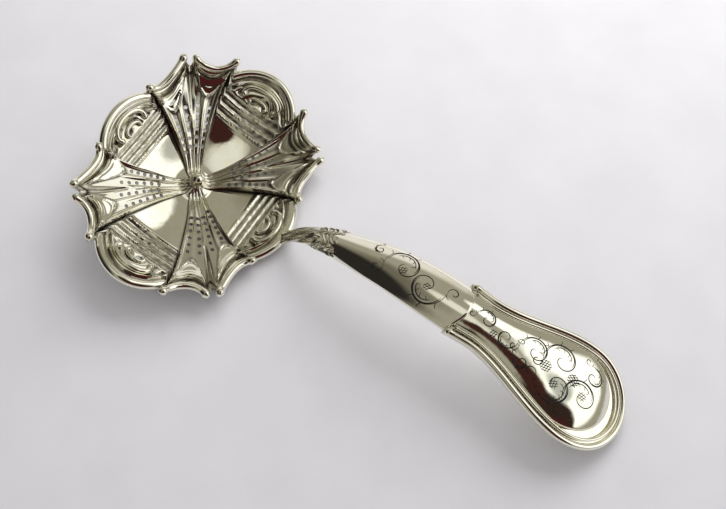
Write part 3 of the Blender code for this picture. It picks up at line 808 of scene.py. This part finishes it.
def handle_height(x):
    """Height of the handle's line above the table, x from the bowl's middle."""
    index = 0
    while index < len(HANDLE_LINE) - 2 and x > HANDLE_LINE[index + 1][0]:
        index += 1
    (x0, z0), (x1, z1) = HANDLE_LINE[index], HANDLE_LINE[index + 1]
    width = x1 - x0
    t = (x - x0) / width
    leaving = (t ** 3 - 2 * t ** 2 + t) * width * handle_slope(index)
    arriving = (t ** 3 - t ** 2) * width * handle_slope(index + 1)
    return z0 + (3 * t ** 2 - 2 * t ** 3) * (z1 - z0) + leaving + arriving


def on_handle(x, across, up):
    """A point beside and above the handle's line, up measured square to the line."""
    step = 0.05
    slope = (handle_height(x + step) - handle_height(x - step)) / (2 * step)
    length = math.hypot(1.0, slope)
    return (BOWL_X + x - up * slope / length, across, handle_height(x) + up / length)


def blade_half_width(x):
    """Half-width of the blade's outline: shoulders, a waist behind them, and a round end."""
    if x < WAIST_X:
        return WAIST_HALF + (SHOULDER_HALF - WAIST_HALF) * (WAIST_X - x) / (WAIST_X - BLADE_START)
    if x < ROUND_X:
        return WAIST_HALF + (ROUND_RADIUS - WAIST_HALF) * smooth_step(x, WAIST_X, ROUND_X)
    return math.sqrt(max(0.0, ROUND_RADIUS ** 2 - (x - ROUND_X) ** 2))


def blade_side(inset, start, centre):
    """Half the blade's outline, moved inwards: places (x, across) from its start to its end."""
    straight = 60
    turn = 40
    radius = blade_half_width(centre) - inset
    side = []
    for step in range(straight):
        x = start + (centre - start) * step / straight
        side.append((x, blade_half_width(x) - inset))
    for step in range(turn + 1):
        angle = math.pi / 2 * step / turn
        side.append((centre + radius * math.sin(angle), radius * math.cos(angle)))
    return side


def shank_half_width(x):
    """Half-width of the shank, which grows ever more slowly towards the blade."""
    share = max(0.0, (x - SHANK_START) / (SHANK_END - SHANK_START))
    return SHANK_HALF_START + (SHANK_HALF_END - SHANK_HALF_START) * (1.0 - (1.0 - share) ** 2)


def shank_height(x):
    """Rise of the shank's front from its edges to its middle."""
    share = (x - SHANK_START) / (SHANK_END - SHANK_START)
    return SHANK_HEIGHT_START + (SHANK_HEIGHT_END - SHANK_HEIGHT_START) * min(1.0, max(0.0, share))


def shank_level(x, across):
    """Height of the shank's front over a place: an arc from side to side."""
    side = min(1.0, abs(across) / shank_half_width(min(x, SHANK_END)))
    rise = math.sqrt(1.0 - (side * math.sin(SHANK_REACH)) ** 2) - math.cos(SHANK_REACH)
    return SHANK_BASE + shank_height(x) * rise / (1.0 - math.cos(SHANK_REACH))


def slab(name, side, top, bottom, material, nodes, columns=33):
    """A closed sheet along the handle between mirrored sides; top(x, across) is its upper level."""
    places = side_spaced(columns)
    upper = []
    under = []
    for x, half in side:
        for place in places:
            upper.append(on_handle(x, place * half, top(x, place * half)))
            under.append(on_handle(x, place * half, bottom))
    rows = len(side)
    shift = len(upper)
    faces = grid_faces(rows, columns)
    faces += [tuple(shift + corner for corner in reversed(face)) for face in faces]
    loop = [row * columns for row in range(rows)]
    loop += [(rows - 1) * columns + column for column in range(1, columns)]
    loop += [row * columns + columns - 1 for row in reversed(range(rows - 1))]
    loop += list(reversed(range(1, columns - 1)))
    for here, there in zip(loop, loop[1:] + loop[:1]):
        faces.append((here, there, shift + there, shift + here))
    return mesh_piece(name, upper + under, faces, material, nodes)


def loft(name, rings, material, nodes, darkening=None):
    """A closed body through rings of points, capped at both ends."""
    count = len(rings[0])
    points = [point for ring in rings for point in ring]
    faces = grid_faces(len(rings), count, wrap=True)
    faces.append(tuple(range(count)))
    faces.append(tuple(range(len(points) - count, len(points))))
    return mesh_piece(name, points, faces, material, nodes, darkening)


def neck(material):
    """The cast neck: a keeled bar that springs from the rim and widens towards the leaves."""
    steps = 60
    sides = 80
    rings = []
    darkening = []
    for step in range(steps + 1):
        share = step / steps
        x = NECK_START + (NECK_END - NECK_START) * share
        half_width = NECK_HALF_START + (LEAF_HALF_START - NECK_HALF_START) * share ** 1.4
        half_width += NECK_FLARE * bump(share, 0.0, 0.125)
        half_thick = NECK_THICK * (1.0 + 0.35 * share)
        ring = []
        for side in range(sides):
            turn = 2 * math.pi * side / sides
            keel = 1.0 + 0.3 * bump(math.cos(turn), 0.0, 0.2) * max(0.0, math.sin(turn))
            veins = math.sin(7.0 * turn + 16.0 * share) * smooth_step(share, 0.1, 0.5)
            size = keel * (1.0 + 0.05 * veins)
            ring.append(on_handle(x, half_width * size * math.cos(turn),
                                  half_thick * size * math.sin(turn)))
            darkening.append(0.45 * bump(abs(math.cos(turn)), 0.35, 0.15) + 0.3 * max(0.0, -veins))
        rings.append(ring)
    loft("cast_neck", rings, material, ["neck"], darkening)


def leaf_cluster(material):
    """The cast leaves wrapped round the start of the shank, with ragged curling tips."""
    steps = 120
    sides = 220
    rings = []
    darkening = []
    for step in range(steps + 1):
        share = step / steps
        half_width = LEAF_HALF_START + (LEAF_HALF_END - LEAF_HALF_START) * share ** 0.8
        thick = LEAF_THICK_START
        thick += (LEAF_THICK_END - LEAF_THICK_START) * math.sin(0.5 * math.pi * share)
        ring = []
        for side in range(sides):
            turn = 2 * math.pi * side / sides
            lean = turn + 0.55 * math.sin(5.0 * share + 0.6 * math.cos(2.0 * turn))
            blades = abs(math.sin(0.5 * LEAVES * lean))
            ribs = abs(math.sin(15.0 * share + 3.0 * blades + 1.6 * math.sin(5.0 * turn)))
            carving = 0.5 * blades ** 0.5 + 0.5 * ribs
            curl = 0.35 * smooth_step(share, 0.6, 0.95) * blades
            size = 0.8 + 0.26 * carving * smooth_step(share, 0.0, 0.2) + curl * (1.0 - share)
            tip = 1.5 * blades * share ** 3 - 0.5 * share
            x = LEAF_START + (LEAF_END - LEAF_START) * share + tip
            across = half_width * size * math.cos(turn)
            ring.append(on_handle(x, across, thick * size * math.sin(turn) + 0.4 * share))
            darkening.append(min(1.0, 1.2 * (1.0 - carving) ** 2))
        rings.append(ring)
    loft("leaf_cluster", rings, material, ["leaf_knop"], darkening)


def shank(material):
    """The hollow shank: an arched front and a flat back, ending in an arc over the blade."""
    steps = 90
    lip_steps = 2  # these roll the front down over its end
    corner = 0.25
    rings = []
    for step in range(steps + lip_steps + 1):
        share = min(step, steps) / steps
        sink = 0.2 * max(0, step - steps)
        ring = []
        for place in side_spaced(61):
            end = SHANK_END + SHANK_ARC * (1.0 - place ** 2)
            x = SHANK_START + (end - SHANK_START) * share
            across = place * shank_half_width(min(x, SHANK_END))
            ring.append(on_handle(x + 0.5 * sink, across, shank_level(x, across) - 3.0 * sink ** 2))
        x = SHANK_START + (SHANK_END - SHANK_START) * share
        half = shank_half_width(x)
        for across in (half, half - corner, 0.0, corner - half, -half):
            drop = corner if abs(across) == half else 0.0
            ring.append(on_handle(x, across, BACK_TOP - HANDLE_SHEET + drop))
        rings.append(ring)
    loft("shank", rings, material, ["shank_front", "shank_back"])


def rounded(level, corner, rim):
    """A level that rolls down over the last bit before an edge."""
    inside = max(0.0, corner - rim) / corner
    return level - corner * (1.0 - math.sqrt(max(0.0, 1.0 - inside ** 2)))


def panel_level(x, across):
    """Height of the panel over a place: domed, round at its end, and rolled down at its edge."""
    half = blade_half_width(min(x, PANEL_ROUND_X)) - PANEL_INSET
    off = min(half, math.hypot(max(0.0, x - PANEL_ROUND_X), across))
    widening = smooth_step(x, WAIST_X, PANEL_WIDE_X)
    dome = PANEL_DOME_START + (PANEL_DOME_END - PANEL_DOME_START) * widening
    return rounded(PANEL_TOP + dome * (1.0 - (off / half) ** 2), PANEL_CORNER, half - off)


def blade(material):
    """The blade: a flat back, the tray in front of it, and the domed panel on the tray."""
    back = blade_side(0.5, SHANK_END, ROUND_X)
    slab("blade_back_plate", back, lambda x, across: BORDER_LEVEL - 0.4,
         BACK_TOP - HANDLE_SHEET, material, ["blade_back"])
    tray = blade_side(BORDER_WIRE, BLADE_START, ROUND_X)
    slab("blade_floor", tray, lambda x, across: FRONT_TOP, 0.0, material, ["blade_tray"])
    panel = blade_side(PANEL_INSET, PANEL_START, PANEL_ROUND_X)
    slab("blade_dome", panel, panel_level, FRONT_TOP - 0.2, material, ["blade_panel"], columns=61)


def blade_wire(name, inset, radius, start, level, material, node_name):
    """A wire that follows the blade's outline from one shoulder to the other."""
    side = blade_side(inset, start, ROUND_X)
    outline = side + [(x, -across) for x, across in reversed(side[:-1])]
    path = [on_handle(x, across, level) for x, across in outline]
    radii = ball_ends(path, radius, 1.12 * radius)
    wire(name, path, radii, material, [node_name])


# ---- engraving

CUT = 0.22  # radius of the inlay of an engraved line at its widest
CUT_SUNK = 0.7  # how much of that radius lies below the surface
HATCH_PITCH = 0.55
HATCH_CROSSING = 65  # degrees between the two sets of a hatched field
LEAF_CUT_STEPS = 7

# Groups of cuts: name, the surface's level, scrolls (x, across, size, start in degrees, hand) and
# hatched fields (x, across, half-width, lean in degrees)
ENGRAVED_GROUPS = (
    ("engraving_shank", shank_level,
     ((59.6, 0.5, 4.9, 205, -1), (65.6, -0.7, 4.9, 15, -1), (52.6, 1.9, 1.5, 100, 1)),
     ((59.6, -0.4, 0.9, 20), (65.8, -0.9, 0.9, -10))),
    ("engraving_panel_small", panel_level,
     ((80.8, 0.5, 2.8, 190, -1), (86.2, -0.5, 2.8, 20, -1)),
     ((83.4, -1.4, 0.9, 10),)),
    ("engraving_panel_large", panel_level,
     ((93.2, 0.8, 4.0, 200, -1), (99.2, 2.9, 4.7, 215, -1), (100.4, -3.2, 4.8, 185, 1),
      (106.4, -1.4, 4.9, 240, -1), (91.6, -3.2, 2.0, 160, 1), (106.6, 4.4, 2.8, 130, -1)),
     ((96.4, -0.6, 1.4, 15), (103.0, 0.6, 1.4, -25), (99.8, -3.0, 1.1, 35), (106.2, -1.2, 1.1, 5))))


def spiral(x, across, size, start, sweep, tight, lean=1.5):
    """A cut round a centre, from a size and a start angle, that closes in as it sweeps."""
    path = []
    steps = 48
    for step in range(steps + 1):
        share = step / steps
        radius = size * (1.0 - (1.0 - tight) * share ** lean)
        turn = math.radians(start + sweep * share)
        path.append((x + radius * math.cos(turn), across + radius * math.sin(turn)))
    return path


def leaf_cuts(path, size, side, first, last, count):
    """Short curved cuts that spring from one side of another cut, like the veins of a leaf."""
    strokes = []
    for index in range(count):
        share = first + (last - first) * index / (count - 1)
        root = int(share * (len(path) - 2))
        (x, across), (next_x, next_across) = path[root], path[root + 1]
        heading = math.atan2(next_across - across, next_x - x) + 0.5 * side
        stroke = [(x, across)]
        for _ in range(LEAF_CUT_STEPS):
            x += size / LEAF_CUT_STEPS * math.cos(heading)
            across += size / LEAF_CUT_STEPS * math.sin(heading)
            heading += 0.2 * side
            stroke.append((x, across))
        strokes.append(stroke)
    return strokes


def hatching(x, across, half, lean):
    """Crossed cuts that fill a small round field."""
    strokes = []
    for heading in (lean, lean + HATCH_CROSSING):
        turn = math.radians(heading)
        count = int(half / HATCH_PITCH)
        for index in range(-count, count + 1):
            shift = index * HATCH_PITCH
            chord = math.sqrt(max(0.0, half ** 2 - shift ** 2))
            strokes.append([(x + end * math.cos(turn) - shift * math.sin(turn),
                             across + end * math.sin(turn) + shift * math.cos(turn))
                            for end in (-chord, 0.0, chord)])
    return strokes


def engrave(name, strokes, level, material):
    """Cuts laid along a surface: thin inlays of oxide, finer when short, tapering to both ends."""
    curve = new_curve(name, 1, material)
    for stroke in strokes:
        widest = CUT * min(1.0, 0.45 + 0.12 * lengths_along(stroke)[-1])
        cuts = [widest * math.sin(math.pi * (index + 0.6) / (len(stroke) + 0.2)) ** 0.4
                for index in range(len(stroke))]
        spots = [on_handle(x, across, level(x, across) - CUT_SUNK * cut)
                 for (x, across), cut in zip(stroke, cuts)]
        add_spline(curve, spots, cuts)
    return join_frame(add_object(name, curve), [])


def c_scroll(x, across, size, start, hand):
    """A C-scroll: a back that winds into a volute, lined on its inside, with a curl and leaves."""
    back = spiral(x, across, size, start, 430 * hand, 0.14, 0.95)
    inner = spiral(x, across, 0.85 * size, start + 25 * hand, 190 * hand, 0.55)
    shade = spiral(x, across, 0.68 * size, start + 60 * hand, 120 * hand, 0.62)
    turn = math.radians(start)
    curl = spiral(x + 1.3 * size * math.cos(turn), across + 1.3 * size * math.sin(turn),
                  0.3 * size, start + 180, 330 * hand, 0.2, 1.0)
    strokes = [back, inner, shade, curl]
    strokes += leaf_cuts(shade, 0.22 * size, hand, 0.1, 0.9, 4)
    strokes += leaf_cuts(back, 0.3 * size, -hand, 0.04, 0.3, 4)
    return strokes


def engraving(material):
    """Foliate scroll groups on the shank and the panel."""
    for name, level, scrolls, fields in ENGRAVED_GROUPS:
        strokes = []
        for scroll in scrolls:
            strokes += c_scroll(*scroll)
        for field in fields:
            strokes += hatching(*field)
        engrave(name, strokes, level, material)


# ---- stage

def floor():
    """Matt pale paper with a faint mottle."""
    material, tree, shader = new_material("pale_floor", 0.9, 0.0)
    mottle(tree, shader, 60.0, 6.0, (0.3, FLOOR_DARK), (0.7, FLOOR_LIGHT))
    bpy.ops.mesh.primitive_plane_add(size=4.0, location=(0.0, 0.0, 0.0))
    plane = bpy.context.view_layer.objects.active
    plane.name = "table_top"
    plane.data.materials.append(material)


def direction(azimuth, elevation):
    """A unit vector, azimuth anticlockwise from +X and elevation above the table, in degrees."""
    azimuth = math.radians(azimuth)
    elevation = math.radians(elevation)
    level = math.cos(elevation)
    return Vector((level * math.cos(azimuth), level * math.sin(azimuth), math.sin(elevation)))


def room_area(tree, place, azimuth, elevation, half_angle, softness):
    """The socket of a value that is 1 inside a round area of the room and 0 outside it."""
    spot = tree.nodes.new("ShaderNodeVectorMath")
    spot.operation = "DOT_PRODUCT"
    spot.inputs[1].default_value = direction(azimuth, elevation)
    tree.links.new(place, spot.inputs[0])
    return mapped(tree, spot.outputs["Value"], "SMOOTHSTEP",
                  From_Min=math.cos(math.radians(half_angle + softness)),
                  From_Max=math.cos(math.radians(half_angle - softness)))


def studio_world():
    """Soft even light, and for the silver to reflect, a pale room with lighter and darker areas."""
    world = bpy.data.worlds.new("studio")
    bpy.context.scene.world = world
    world.use_nodes = True
    tree = world.node_tree
    room = tree.nodes["Background"]
    place = tree.nodes.new("ShaderNodeTexCoord").outputs["Generated"]
    colour = ROOM_WALLS
    for azimuth, elevation, half_angle, softness, tint in ROOM_AREAS:
        area = room_area(tree, place, azimuth, elevation, half_angle, softness)
        colour = colour_mix(tree, area, colour, tint)
    tree.links.new(colour, room.inputs["Color"])
    soft = tree.nodes.new("ShaderNodeBackground")
    soft.inputs["Color"].default_value = (*SOFT_LIGHT, 1.0)
    rays = tree.nodes.new("ShaderNodeLightPath")
    blend = tree.nodes.new("ShaderNodeMixShader")
    tree.links.new(rays.outputs["Is Glossy Ray"], blend.inputs["Fac"])
    tree.links.new(soft.outputs["Background"], blend.inputs[1])
    tree.links.new(room.outputs["Background"], blend.inputs[2])
    tree.links.new(blend.outputs["Shader"], tree.nodes["World Output"].inputs["Surface"])


def key_light():
    """A broad window light from behind the ladle."""
    light = bpy.data.lights.new("window", "AREA")
    light.shape = "RECTANGLE"
    light.size = KEY_SIDE
    light.size_y = KEY_SIDE
    light.energy = KEY_POWER
    item = add_object("window", light)
    towards = direction(*KEY_DIRECTION)
    item.location = KEY_DISTANCE * towards
    item.rotation_euler = towards.to_track_quat("Z", "Y").to_euler()
    item.visible_glossy = False


def camera():
    """A short telephoto view from above the near side of the ladle, rolled a little."""
    back = direction(*VIEW_DIRECTION)
    right = Vector((-back.y, back.x, 0.0)).normalized()
    up = back.cross(right)
    rolled_right = math.cos(VIEW_ROLL) * right + math.sin(VIEW_ROLL) * up
    rolled_up = math.cos(VIEW_ROLL) * up - math.sin(VIEW_ROLL) * right
    data = bpy.data.cameras.new("camera")
    data.lens = LENS
    data.sensor_width = 36.0
    item = add_object("camera", data)
    place = Matrix((rolled_right, rolled_up, back)).transposed().to_4x4()
    place.translation = MM * (Vector(VIEW_TARGET) + VIEW_DISTANCE * back)
    item.matrix_world = place
    bpy.context.scene.camera = item


def build():
    """The whole ladle, on its table in its light."""
    polished = metal("old_polished_silver", 0.05)
    struck = metal("old_struck_silver", 0.04, tone=0.97, tarnish=0.5, grain=0.03)
    cast = metal("old_cast_silver", 0.11, tone=0.93, tarnish=0.5, grain=0.04, pitting=0.02)
    bowl(struck)
    for fan in range(4):
        scallop_rim(fan, -1.0, polished)
        scallop_rim(fan, 1.0, polished)
        lobe_rim(fan, polished)
        lobe_scrolls(fan, struck)
    boss(polished, cast)
    neck(cast)
    leaf_cluster(cast)
    shank(polished)
    blade(polished)
    blade_wire("blade_roll", BORDER_WIRE, BORDER_WIRE, BLADE_START, BORDER_LEVEL, polished,
               "blade_border")
    blade_wire("blade_inner_roll", THREAD_INSET, THREAD_WIRE, THREAD_START, THREAD_LEVEL, polished,
               "blade_thread")
    engraving(engraved_line())
    floor()
    studio_world()
    key_light()
    camera()
    bpy.context.scene.view_settings.view_transform = "Standard"


build()
